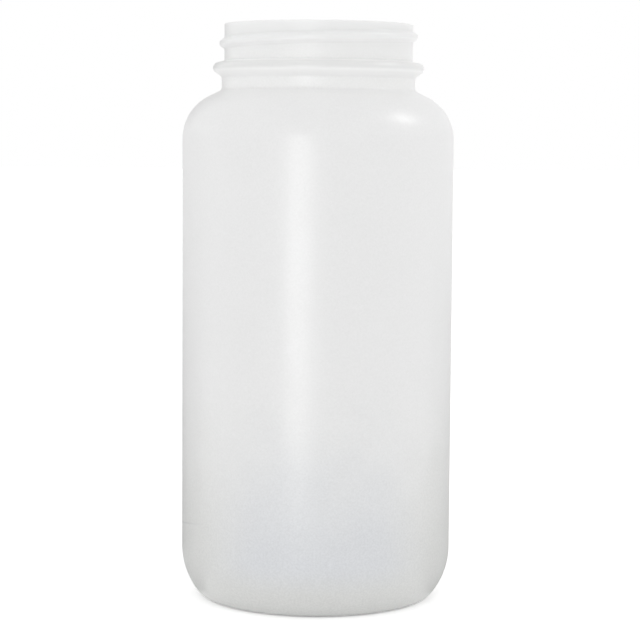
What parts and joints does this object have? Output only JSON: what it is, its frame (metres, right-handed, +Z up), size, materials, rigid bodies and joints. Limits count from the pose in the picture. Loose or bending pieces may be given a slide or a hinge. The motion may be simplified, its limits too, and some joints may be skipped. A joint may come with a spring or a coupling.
{
  "type": "reagent bottle",
  "caption": "Wide-mouth round bottle of milky translucent plastic with a threaded neck, shown open, and its ribbed screw cap lying open side up behind it.",
  "frame": {"origin": "centre of the bottle's flat standing ring", "axes": "+Z up along the bottle's axis and out of its mouth, -Y towards the camera of the picture, +Y towards the cap that lies behind the bottle"},
  "size_m": [0.072, 0.1385, 0.1524],
  "materials": {
    "natural_hdpe": "milky translucent, satin",
    "white_pp": "white, satin",
    "liner_foam": "white foam, matt"
  },
  "bodies": {
    "bottle": {"bottle": "natural_hdpe"},
    "cap": {"screw_cap": "white_pp", "cap_liner": "liner_foam"}
  },
  "joints": [
    {"name": "cap_lift", "type": "slide", "parent": "bottle", "child": "cap", "axis": [0, 0, 1], "range_m": [0, 0.18]}
  ]
}
